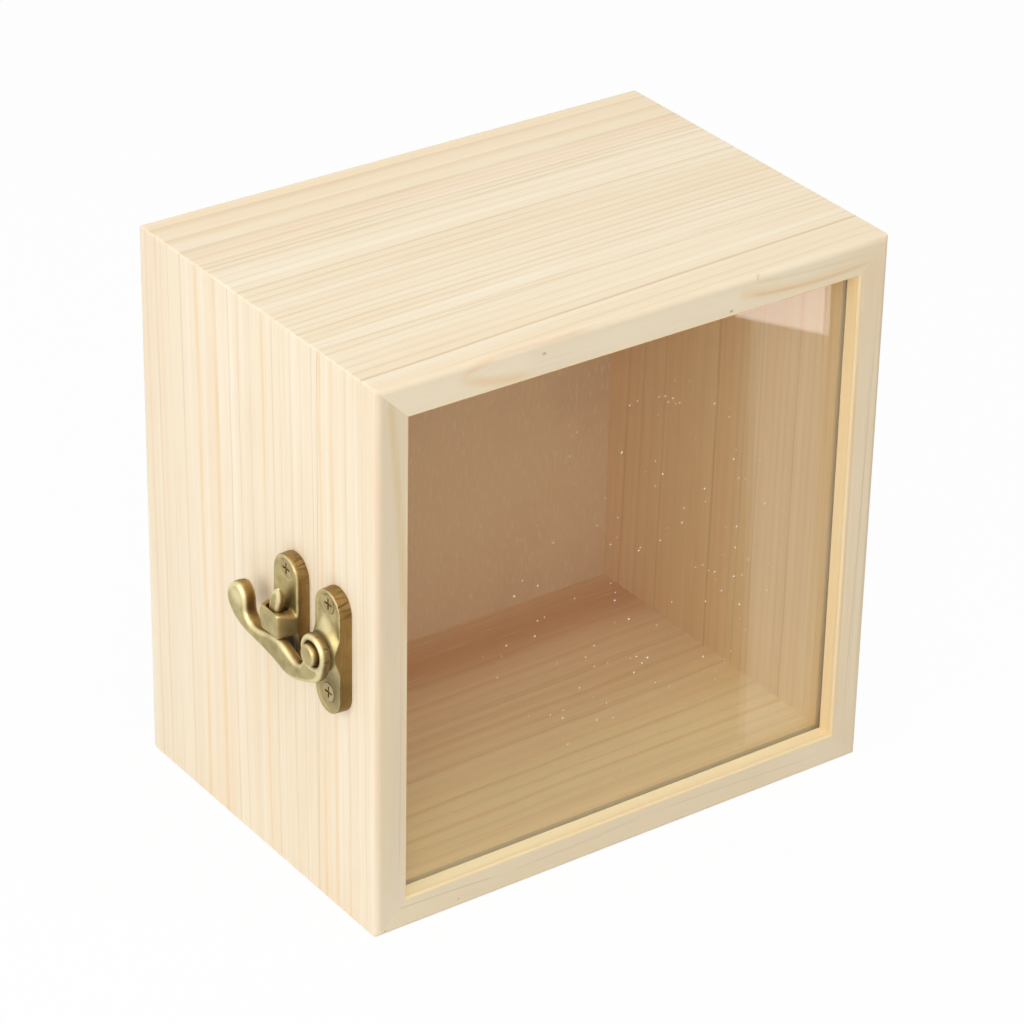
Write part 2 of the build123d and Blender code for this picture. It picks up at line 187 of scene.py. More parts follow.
class Graph:
    """A node tree under construction."""

    def __init__(self, tree: bpy.types.NodeTree) -> None:
        """Empties the tree."""
        self.tree = tree
        tree.nodes.clear()

    def add(
        self,
        kind: str,
        settings: dict[str, Any] | None = None,
        values: dict[str | int, Any] | None = None,
        output: str | int = 0,
    ) -> Wire:
        """Adds a node.

        Args:
            kind: The node's type.
            settings: The node's own properties.
            values: A number, colour or wire for each input, by its name or place.
            output: The output to give back.

        Returns:
            The wire from that output, or from the node's first one.
        """
        node = self.tree.nodes.new(kind)
        for name, setting in (settings or {}).items():
            setattr(node, name, setting)
        for key, value in (values or {}).items():
            if isinstance(value, Wire):
                self.tree.links.new(value.socket, node.inputs[key])
            else:
                node.inputs[key].default_value = value
        if not node.outputs:
            return Wire(self, node.inputs[0])
        return Wire(self, node.outputs[output])

    def place(self) -> Wire:
        """The point on the surface, in millimetres of the frame."""
        point = self.add("ShaderNodeTexCoord", output="Object")
        return self.add("ShaderNodeVectorMath", {"operation": "SCALE"}, {0: point, "Scale": MILLIMETRES})

    def split(self, vector: Wire) -> tuple[Wire, Wire, Wire]:
        """The three numbers of a vector."""
        node = self.add("ShaderNodeSeparateXYZ", values={0: vector}).socket.node
        return Wire(self, node.outputs[0]), Wire(self, node.outputs[1]), Wire(self, node.outputs[2])

    def join(self, x: Wire | float, y: Wire | float, z: Wire | float) -> Wire:
        """A vector of three numbers."""
        return self.add("ShaderNodeCombineXYZ", values={0: x, 1: y, 2: z})

    def noise(self, point: Wire, scale: float = 1.0, detail: float = 2.0, seed: float = 0.0) -> Wire:
        """Soft noise.

        Args:
            point: Where it is read.
            scale: Its waves in a unit of the point.
            detail: How many finer layers it has.
            seed: Picks another pattern.

        Returns:
            A number from about 0.2 to 0.8, 0.5 on average.
        """
        values = {"Vector": point, "W": seed, "Scale": scale, "Detail": detail}
        return self.add("ShaderNodeTexNoise", {"noise_dimensions": "4D"}, values)

    def paint(
        self, under: Wire | Colour, over: Wire | Colour, share: Wire | float, way: Blend = Blend.MIX
    ) -> Wire:
        """One colour over another.

        Args:
            under: The colour below.
            over: The colour on top.
            share: How much of it covers, from 0 to 1.
            way: How the two mix.

        Returns:
            The mixed colour.
        """
        values = {0: share, 6: _rgba(under), 7: _rgba(over)}
        return self.add("ShaderNodeMix", {"data_type": "RGBA", "blend_type": way.value}, values, output=2)

    def attribute(self, name: str) -> Wire:
        """A number that the mesh holds at each vertex."""
        return self.add("ShaderNodeAttribute", {"attribute_name": name}, output="Fac")

    def bump(self, height: Wire, distance: float, strength: float = 1.0) -> Wire:
        """A normal from a height.

        Args:
            height: The height, from 0 to 1.
            distance: How many millimetres a height of 1 is.
            strength: How much of it shows.

        Returns:
            The normal.
        """
        values = {"Height": height, "Distance": distance * METRES, "Strength": strength}
        return self.add("ShaderNodeBump", values=values)

    def surface(self, shader: Wire) -> None:
        """Ends the graph with this shader."""
        self.add("ShaderNodeOutputMaterial", values={"Surface": shader})


def _rgba(colour: Wire | Colour) -> Wire | tuple[float, ...]:
    """A colour with its fourth number, or the wire as it is."""
    return colour if isinstance(colour, Wire) else (*colour, 1.0)


def new_material(name: str) -> tuple[bpy.types.Material, Graph]:
    """Starts a node material.

    Args:
        name: Its name.

    Returns:
        The material and its empty graph.
    """
    material = bpy.data.materials.new(name)
    material.use_nodes = True
    return material, Graph(material.node_tree)


def new_object(name: str, data: bpy.types.ID) -> bpy.types.Object:
    """Puts an object into the scene.

    Args:
        name: Its name.
        data: Its mesh, lamp or camera.

    Returns:
        The object, at the origin.
    """
    piece = bpy.data.objects.new(name, data)
    bpy.context.scene.collection.objects.link(piece)
    return piece


def dress(piece: bpy.types.Object, material: bpy.types.Material) -> None:
    """Gives the whole piece one material and reports it.

    Args:
        piece: The piece.
        material: Its finish.
    """
    piece.data.materials.clear()
    piece.data.materials.append(material)
    LOG.info("%s in %s", piece.name, material.name)


@dataclass(frozen=True)
class Band:
    """A run of growth rings of about the same width.

    Attributes:
        width: How far it reaches across the board.
        spacing: From one ring to the next.
    """

    width: float
    spacing: float


@dataclass(frozen=True)
class Line:
    """One growth line that stands out.

    Attributes:
        across: Where it is, as a place across the board.
        width: Its half width.
        strength: How much it covers, from 0 to 1.
        tint: Its colour.
    """

    across: float
    width: float
    strength: float
    tint: Colour


@dataclass(frozen=True)
class StainAndPaintedLight(Line):
    """A broad soft change of tone across the board; the two of the bottom plank are painted light and
    painted shade.
    """


@dataclass(frozen=True)
class Streak:
    """A bowed stroke of late wood on the front of the lid frame.

    Attributes:
        start: One end, as (x, z).
        end: The other end.
        bow: How far its middle leaves the straight line.
        width: Its half width.
        strength: How much it covers, from 0 to 1.
        tint: Its colour.
        blunt: The share of its length over which its start fades in.
    """

    start: tuple[float, float]
    end: tuple[float, float]
    bow: float
    width: float
    strength: float
    tint: Colour
    blunt: float = 0.2


@dataclass(frozen=True)
class PinKnot:
    """A knot the size of a pin's head on the front of the lid frame."""

    x: float
    z: float
    radius: float


LATE_BROWN: Colour = (0.52, 0.33, 0.16)
LATE_ORANGE: Colour = (0.89, 0.64, 0.34)
LATE_PINK: Colour = (0.80, 0.46, 0.30)
CREAM: Colour = (0.93, 0.80, 0.60)
SCREW_FACE: Colour = (0.44, 0.34, 0.16)


@dataclass(frozen=True)
class Pine:
    """Bare planed pine, with the growth lines of one plank, painted shade on its front faces and painted
    light and shade on its inner faces.

    Attributes:
        name: The material's name.
        grain: Which way the fibres run.
        base: The colour of the early wood.
        first: Where the first band of rings starts, across the board.
        bands: The bands of rings, from there on.
        ring_strength: How dark the rings of the bands are.
        ring_tint: Their colour.
        lines: The lines that stand out.
        stains_and_painted_light: The broad changes of tone.
        streaks: What only the lid frame's front shows.
        knots: The pin knots of that front.
        stripes: How much the tone changes from one group of rings to the next.
        lean: How far the lines move across for each millimetre along.
        fan: How much that changes for each millimetre across.
        wander: How far they waver.
        calm: How much weaker the rings are towards the front.
        seed: Picks the noise.
    """

    name: str
    grain: Grain
    base: Colour = CREAM
    first: float = -36.0
    bands: tuple[Band, ...] = ()
    ring_strength: float = 0.35
    ring_tint: Colour = LATE_BROWN
    lines: tuple[Line, ...] = ()
    stains_and_painted_light: tuple[StainAndPaintedLight, ...] = ()
    streaks: tuple[Streak, ...] = ()
    knots: tuple[PinKnot, ...] = ()
    stripes: float = 0.5
    lean: float = 0.0
    fan: float = 0.0
    wander: float = 0.8
    calm: float = 0.0
    seed: float = 0.0

    FRONT_START = -34.0
    FRONT_FULL = -34.6
    INNER_START = 44.7
    INNER_FULL = 44.2
    FRONT_PAINTED_SHADE = (0.95, 0.92, 0.88)
    NEAR_PAINTED_LIGHT = (1.07, 1.02, 0.84)
    DEEP_PAINTED_SHADE = (0.99, 0.87, 0.75)
    NEAR_Y = -20.0
    DEEP_Y = 28.0
    PALE_CLOUD = (0.98, 0.90, 0.74)
    DARK_CLOUD = (0.86, 0.66, 0.44)
    PALE_STRIPE = (0.98, 0.91, 0.76)
    DARK_STRIPE = (0.90, 0.72, 0.52)
    DARK_FIBRE = (0.60, 0.42, 0.24)
    PALE_FIBRE = (1.0, 0.95, 0.84)
    KNOT = (0.36, 0.31, 0.23)
    CALM_START = -6.0
    CALM_FULL = -30.0
    LATE_RISE = (0.50, 0.91)
    LATE_FALL = (1.0, 0.94)
    SLOW_BEND = 5.0
    QUICK_BEND = 0.75
    ROUGHNESS = 0.52
    SPECULAR = 0.32
    RELIEF = 0.06

    def material(self) -> bpy.types.Material:
        """Builds the material.

        Returns:
            The material, for every piece of this finish.
        """
        material, graph = new_material(self.name)
        x, y, z = graph.split(graph.place())
        up = z - MIDDLE_Z
        along, thick = (up, x) if self.grain is Grain.UPRIGHT else (x, up)
        across = self._across(graph, along, y, thick)
        rings = self._rings(graph, across, along)
        fibre = self._fibre(graph, along, y, thick)
        colour = self._toned(graph, across, along, y, thick)
        depth = rings * self.ring_strength
        colour = graph.paint(colour, self.ring_tint, depth)
        patchy = graph.noise(graph.join(along * 0.035, across * 0.25, 0.0), seed=self.seed + 5.0)
        fade = patchy.ease(0.3, 0.55) * 0.6 + 0.4
        for line in self.lines:
            mask = abs(across - line.across).ease(line.width, 0.0) * line.strength * fade
            colour = graph.paint(colour, line.tint, mask)
            depth = depth + mask
        front = y.ease(self.FRONT_START, self.FRONT_FULL)
        colour = self._marked(graph, colour, x, z, front)
        # Painted shade: the front faces are multiplied a little darker and warmer, as the light falls on
        # them.
        colour = graph.paint(colour, self.FRONT_PAINTED_SHADE, front, Blend.MULTIPLY)
        # Painted light and shade inside the box: the inner faces are multiplied brighter and warmer near the
        # pane and darker towards the back.
        inside = [abs(place).ease(self.INNER_START, self.INNER_FULL) for place in (x, up)]
        tone = graph.paint(self.NEAR_PAINTED_LIGHT, self.DEEP_PAINTED_SHADE, y.ease(self.NEAR_Y, self.DEEP_Y))
        colour = graph.paint(colour, tone, inside[0] * inside[1], Blend.MULTIPLY)
        colour = graph.paint(colour, self.DARK_FIBRE, fibre.ease(0.56, 0.80) * 0.22)
        colour = graph.paint(colour, self.PALE_FIBRE, fibre.ease(0.46, 0.24) * 0.25)
        height = fibre * 0.5 - depth * 0.4
        shader = graph.add(
            "ShaderNodeBsdfPrincipled",
            values={
                "Base Color": colour,
                "Roughness": self.ROUGHNESS + fibre * 0.16 - depth * 0.1,
                "Specular IOR Level": self.SPECULAR,
                "Normal": graph.bump(height, self.RELIEF),
            },
        )
        graph.surface(shader)
        return material

    def _toned(self, graph: Graph, across: Wire, along: Wire, y: Wire, thick: Wire) -> Wire:
        """The early wood with its clouds, stripes and broad washes of tone.

        Args:
            graph: The material's graph.
            across: The place across the plank, with its bends taken out.
            along: The place along the fibres.
            y: The place from front to back.
            thick: The place through the board.

        Returns:
            The colour before any growth line.
        """
        spot = graph.join(along * 0.012, y * 0.07, thick * 0.07)
        cloud = graph.noise(spot, detail=3.0, seed=self.seed + 3.0)
        colour = graph.paint(self.base, self.PALE_CLOUD, cloud.ease(0.48, 0.75) * 0.5)
        colour = graph.paint(colour, self.DARK_CLOUD, cloud.ease(0.5, 0.25) * 0.35)
        spot = graph.join(along * 0.007, across * 0.42, 0.0)
        stripe = graph.noise(spot, detail=1.0, seed=self.seed + 6.0)
        colour = graph.paint(colour, self.PALE_STRIPE, stripe.ease(0.5, 0.66) * self.stripes)
        colour = graph.paint(colour, self.DARK_STRIPE, stripe.ease(0.5, 0.34) * self.stripes)
        for tone_wash in self.stains_and_painted_light:
            mask = abs(across - tone_wash.across).ease(tone_wash.width, 0.0) * tone_wash.strength
            colour = graph.paint(colour, tone_wash.tint, mask)
        return colour

    def _across(self, graph: Graph, along: Wire, y: Wire, thick: Wire) -> Wire:
        """Takes the plank's bends out of a place.

        Args:
            graph: The material's graph.
            along: The place along the fibres.
            y: The place from front to back.
            thick: The place through the board.

        Returns:
            The place across the plank, as if it had grown straight.
        """
        slow = graph.noise(graph.join(along * 0.011, y * 0.035, thick * 0.03), seed=self.seed) - 0.5
        quick = graph.noise(graph.join(along * 0.07, y * 0.16, thick * 0.1), seed=self.seed + 1.0) - 0.5
        leaned = y + along * (y * self.fan + self.lean)
        return leaned + slow * (self.SLOW_BEND * self.wander) + quick * (self.QUICK_BEND * self.wander)

    def _rings(self, graph: Graph, across: Wire, along: Wire) -> Wire:
        """Draws the bands of growth rings.

        Args:
            graph: The material's graph.
            across: The place across the plank, with its bends taken out.
            along: The place along the fibres.

        Returns:
            How much late wood there is, from 0 to 1.
        """
        if not self.bands:
            return across * 0.0
        count = across * 0.0
        start = self.first
        for band in self.bands:
            count = count + (across - start).span(band.width) / band.spacing
            start += band.width
        ring = count.floor()
        within = count.fraction()
        late = within.ease(*self.LATE_RISE) * within.ease(*self.LATE_FALL)
        chance = graph.add("ShaderNodeTexWhiteNoise", {"noise_dimensions": "1D"}, {"W": ring + self.seed})
        patch = graph.noise(graph.join(along * 0.025, ring * 3.7, 0.0), seed=self.seed + 2.0).ease(0.3, 0.7)
        quiet = 1.0 - across.ease(self.CALM_START, self.CALM_FULL) * self.calm
        return late * (chance * 0.65 + 0.35) * (patch * 0.6 + 0.4) * quiet

    def _fibre(self, graph: Graph, along: Wire, y: Wire, thick: Wire) -> Wire:
        """Fine fibres, drawn out along the grain."""
        return graph.noise(graph.join(along * 0.09, y * 3.2, thick * 3.2), detail=3.0, seed=self.seed + 4.0)

    def _marked(self, graph: Graph, colour: Wire, x: Wire, z: Wire, front: Wire) -> Wire:
        """Adds the streaks and knots that only the lid frame's front shows.

        Args:
            graph: The material's graph.
            colour: The wood without them.
            x: The place to the right.
            z: The place upwards.
            front: 1 on the front, 0 behind it.

        Returns:
            The wood with them.
        """
        for streak in self.streaks:
            run = Vector(streak.end) - Vector(streak.start)
            length = run.length
            unit = run / length
            dx = x - streak.start[0]
            dz = z - streak.start[1]
            share = ((dx * unit.x + dz * unit.y) / length).span(1.0)
            bowed = share * (1.0 - share) * (4.0 * streak.bow)
            off = abs(dz * unit.x - dx * unit.y - bowed)
            mask = off.ease(streak.width, 0.0) * share.ease(0.0, streak.blunt) * share.ease(1.0, 0.75)
            colour = graph.paint(colour, streak.tint, mask * front * streak.strength)
        for knot in self.knots:
            gap = ((x - knot.x) ** 2.0 + ((z - knot.z) * 1.5) ** 2.0) ** 0.5
            colour = graph.paint(colour, self.KNOT, gap.ease(knot.radius, 0.0) * front * 0.7)
        return colour


@dataclass(frozen=True)
class BackBoard:
    """A plain thin board with short pale fibres.

    Attributes:
        name: The material's name.
        base: Its colour.
        cloud: The colour of its darker clouds.
        fibre: The colour of its fibres.
        roughness: How dull it is.
        specular: How much light it mirrors.
        relief: How far its fibres stand out.
    """

    name: str = "back_board"
    base: Colour = (0.84, 0.64, 0.43)
    cloud: Colour = (0.74, 0.54, 0.36)
    fibre: Colour = (0.95, 0.80, 0.60)
    roughness: float = 0.6
    specular: float = 0.25
    relief: float = 0.04

    def material(self) -> bpy.types.Material:
        """Builds the material.

        Returns:
            The material, for every piece of this finish.
        """
        material, graph = new_material(self.name)
        x, y, z = graph.split(graph.place())
        cloud = graph.noise(graph.join(x * 0.04, y * 0.04, z * 0.04), detail=3.0)
        fibre = graph.noise(graph.join(x * 1.6, y, z * 0.5), detail=4.0, seed=1.0)
        colour = graph.paint(self.base, self.cloud, cloud.ease(0.45, 0.65) * 0.55)
        colour = graph.paint(colour, self.fibre, fibre.ease(0.50, 0.72) * 0.5)
        shader = graph.add(
            "ShaderNodeBsdfPrincipled",
            values={
                "Base Color": colour,
                "Roughness": self.roughness + fibre * 0.15,
                "Specular IOR Level": self.specular,
                "Normal": graph.bump(fibre, self.relief),
            },
        )
        graph.surface(shader)
        return material


@dataclass(frozen=True)
class ClearPane:
    """A clear polished sheet that mirrors a little, with specks of dust on it.

    Attributes:
        name: The material's name.
        cell: One speck at most lies in a square of this size.
        kept: The share of the squares that have one.
        speck: The radius of a speck.
    """

    name: str = "clear_pane"
    cell: float = 1.45
    kept: float = 0.65
    speck: float = 0.19

    SHEEN = (1.0, 0.99, 0.97)
    TINT = (0.985, 0.975, 0.965)
    HEAD_ON = 0.04
    DUSTY_MIDDLE = (2.0, 48.0)
    DUSTY_HALF = (36.0, 44.0)

    def material(self) -> bpy.types.Material:
        """Builds the material.

        Returns:
            The material, for every piece of this finish.
        """
        material, graph = new_material(self.name)
        x, y, z = graph.split(graph.place())
        facing = graph.add("ShaderNodeLayerWeight", values={"Blend": 0.5}, output="Facing")
        mirror = facing ** 5.0 * (1.0 - self.HEAD_ON) + self.HEAD_ON
        near = (y - middle_of("pane").y).ease(0.1, -0.1)
        dust = self._dust(graph, x, z) * near
        shader = graph.add(
            "ShaderNodeBsdfPrincipled",
            values={"Base Color": _rgba(self.SHEEN), "Metallic": 1.0 - dust, "Roughness": dust * 0.5},
        )
        through = graph.add("ShaderNodeBsdfTransparent", values={"Color": _rgba(self.TINT)})
        graph.surface(graph.add("ShaderNodeMixShader", values={0: mirror.most(dust), 1: through, 2: shader}))
        return material

    def _dust(self, graph: Graph, x: Wire, z: Wire) -> Wire:
        """Strews specks, mostly near the middle of the pane.

        Args:
            graph: The material's graph.
            x: The place to the right.
            z: The place upwards.

        Returns:
            1 on a speck, 0 beside it.
        """
        spot = graph.join(x / self.cell, 0.0, z / self.cell)
        values = {"Vector": spot, "Scale": 1.0}
        cells = graph.add("ShaderNodeTexVoronoi", {"feature": "F1"}, values, output="Distance")
        chance = graph.split(Wire(graph, cells.socket.node.outputs["Color"]))[0]
        aside = (x - self.DUSTY_MIDDLE[0]) / self.DUSTY_HALF[0]
        above = (z - self.DUSTY_MIDDLE[1]) / self.DUSTY_HALF[1]
        middle = (aside**2.0 + above**2.0).ease(1.0, 0.35)
        group = graph.noise(graph.join(x * 0.09, 0.0, z * 0.09), seed=2.0).ease(0.32, 0.5)
        size = chance / self.kept
        radius = (self.speck / self.cell) * (1.0 - size * 0.6)
        return (cells - radius).ease(0.02, -0.02) * chance.ease(self.kept, self.kept - 0.01) * middle * group


@dataclass(frozen=True)
class AntiqueBrass:
    """Darkened cast brass, rubbed bright on its edges, with painted shade on its side walls and painted
    shade and highlights where the mesh says.

    Attributes:
        name: The material's name.
        face: The colour of its open faces.
        rim: The colour where it is rubbed, and of the painted highlights.
        hollow: The dark colour of the hollows, of the casting cuts and of the painted shade.
        roughness: How dull its faces are.
        worn_and_shaded: Whether the mesh says where it is rubbed and where it is hollow, and where shade and
            highlights are painted.
    """

    name: str
    face: Colour = (0.51, 0.41, 0.185)
    rim: Colour = (0.86, 0.76, 0.43)
    hollow: Colour = (0.085, 0.05, 0.02)
    roughness: float = 0.36
    worn_and_shaded: bool = True

    PALE_CLOUD = (0.60, 0.50, 0.25)
    DARK_CLOUD = (0.30, 0.25, 0.13)
    SIDE_PAINTED_SHADE = (0.27, 0.15, 0.045)
    SIDE_STREAK = (0.50, 0.36, 0.14)
    RELIEF = 0.03

    def material(self) -> bpy.types.Material:
        """Builds the material.

        Returns:
            The material, for every piece of this finish.
        """
        material, graph = new_material(self.name)
        point = graph.place()
        cloud = graph.noise(point, 0.5, 3.0)
        grit = graph.noise(point, 6.0, 3.0, seed=1.0)
        colour = graph.paint(self.face, self.PALE_CLOUD, cloud.ease(0.48, 0.68) * 0.6)
        colour = graph.paint(colour, self.DARK_CLOUD, cloud.ease(0.5, 0.32) * 0.5)
        rubbed: Wire | float = 0.0
        dark: Wire | float = grit.ease(0.60, 0.74) * 0.25
        if self.worn_and_shaded:
            side = graph.attribute("side")
            x, y, z = graph.split(point)
            drawn = graph.noise(graph.join(x * 2.2, y * 0.8, z * 0.22), detail=3.0, seed=2.0)
            # Painted shade: walls that face away from -X are painted dark brown, with drawn streaks in it.
            colour = graph.paint(colour, self.SIDE_PAINTED_SHADE, side * (drawn * 0.6 + 0.45))
            colour = graph.paint(colour, self.SIDE_STREAK, side * drawn.ease(0.54, 0.70) * 0.4)
            # The rub attribute holds the rubbed edges and the painted highlights.
            uneven = graph.attribute("rub_and_highlight") + (cloud - 0.5) * 0.5
            rubbed = uneven.ease(0.40, 1.15) * (0.9 - side * 0.7)
            # The hollow attribute holds the darker hollows and cuts and the painted shade.
            dark = dark.most(graph.attribute("hollow"))
        colour = graph.paint(colour, self.rim, rubbed)
        colour = graph.paint(colour, self.hollow, dark)
        shader = graph.add(
            "ShaderNodeBsdfPrincipled",
            values={
                "Base Color": colour,
                "Metallic": 1.0,
                "Roughness": self.roughness + grit * 0.14 + dark * 0.25,
                "Normal": graph.bump(grit, self.RELIEF, 0.6),
            },
        )
        graph.surface(shader)
        return material


@dataclass
class Skin:
    """A mesh as arrays, in millimetres.

    Attributes:
        points: The vertices.
        edges: The pairs of vertices that edges join.
        normals: The outward directions at the vertices.
    """

    points: np.ndarray
    edges: np.ndarray
    normals: np.ndarray

    @classmethod
    def of(cls, mesh: bpy.types.Mesh) -> "Skin":
        """Reads a mesh.

        Args:
            mesh: The mesh, in millimetres.

        Returns:
            Its arrays.
        """
        points = np.empty(len(mesh.vertices) * 3, np.float32)
        mesh.vertices.foreach_get("co", points)
        edges = np.empty(len(mesh.edges) * 2, np.int32)
        mesh.edges.foreach_get("vertices", edges)
        normals = np.empty(len(mesh.vertices) * 3, np.float32)
        mesh.vertices.foreach_get("normal", normals)
        rows = [array.reshape(-1, 3).astype(float) for array in (points, normals)]
        return cls(rows[0], edges.reshape(-1, 2), rows[1])

    def eased(self, values: np.ndarray, steps: int, pull: float = 0.5, push: float = 0.0) -> np.ndarray:
        """Averages values with their neighbours'.

        Args:
            values: One row for each vertex.
            steps: How many rounds.
            pull: How far each round goes towards the average.
            push: How far it goes back after that, which keeps the volume.

        Returns:
            The averaged values.
        """
        count = np.bincount(self.edges.ravel(), minlength=len(values)).clip(1)[:, None]
        for _ in range(steps):
            for amount in (pull, -push):
                if not amount:
                    continue
                total = np.empty_like(values)
                for column in range(values.shape[1]):
                    near = values[self.edges[:, ::-1].ravel(), column]
                    total[:, column] = np.bincount(self.edges.ravel(), near, minlength=len(values))
                values = values + (total / count - values) * amount
        return values


@dataclass(frozen=True)
class Notches:
    """Rough cuts that the casting kept, round the end of a piece.

    Attributes:
        y: The middle of the round end.
        z: The same, upwards.
        first: Where they start, as an angle from upright, towards +Y, in degrees.
        last: Where they stop.
        count: How many there are.
        reach: How far from the middle they may lie.
        seed: Picks them.
    """

    y: float
    z: float
    first: float
    last: float
    count: int
    reach: float
    seed: int

    WIDTHS = (1.0, 3.6)
    LENGTHS = (0.3, 0.75)
    SLANTS = (-14.0, 14.0)
    DEPTHS = (0.35, 1.0)
    FADE = 14.0

    def depth(self, skin: Skin) -> np.ndarray:
        """How deep the cuts are.

        Args:
            skin: The piece before it is cut.

        Returns:
            The depth at each vertex, from 0 to 1.
        """
        draw = np.random.default_rng(self.seed)
        angles = np.sort(draw.uniform(self.first, self.last, self.count))
        widths = draw.uniform(*self.WIDTHS, self.count)
        lengths = draw.uniform(*self.LENGTHS, self.count)
        slants = draw.uniform(*self.SLANTS, self.count)
        depths = draw.uniform(*self.DEPTHS, self.count)
        dy = skin.points[:, 1] - self.y
        dz = skin.points[:, 2] - self.z
        turn = np.degrees(np.arctan2(dy, dz))
        out = LATCH_SIDE_X - skin.points[:, 0]
        wall = (1.0 - np.abs(skin.normals[:, 0])).clip(0.0, 1.0) ** 2
        near = np.hypot(dy, dz) < self.reach
        low = out[near].min() if near.any() else 0.0
        high = out[near].max() if near.any() else 1.0
        share = (out - low) / max(high - low, 0.01)
        deep = np.zeros(len(turn))
        for angle, width, length, slant, depth in zip(angles, widths, lengths, slants, depths):
            cut = np.exp(-(((turn - angle - slant * share) / width) ** 2)) * depth
            deep = np.maximum(deep, cut / (1.0 + np.exp((share - length) * self.FADE)))
        return deep * wall * near


@dataclass(frozen=True)
class Push:
    """A local change of a cast shape, as a thumb makes in wax.

    Attributes:
        place: Where it is strongest.
        reach: How far from there it has faded to a third.
        by: How far and which way it moves the surface.
    """

    place: Place
    reach: float
    by: Place

    def moved(self, points: np.ndarray) -> np.ndarray:
        """The points after the push."""
        gap = ((points - self.place) ** 2).sum(axis=1)
        return points + np.exp(-gap / self.reach**2)[:, None] * self.by


@dataclass(frozen=True)
class Patch:
    """A spot, or a ring about the X axis, where shade or a highlight is painted.

    Attributes:
        place: Its middle.
        reach: How far it spreads.
        strength: How strong it is, from 0 to 1.
        ring: The radius of the ring, or 0 for a spot.
    """

    place: Place
    reach: float
    strength: float
    ring: float = 0.0

    def cover(self, points: np.ndarray) -> np.ndarray:
        """How much it covers.

        Args:
            points: The places, one in each row.

        Returns:
            The cover at each, from 0 to the patch's strength.
        """
        dx, dy, dz = (points - self.place).T
        gap = dx**2 + (np.hypot(dy, dz) - self.ring) ** 2
        return np.exp(-gap / self.reach**2) * self.strength


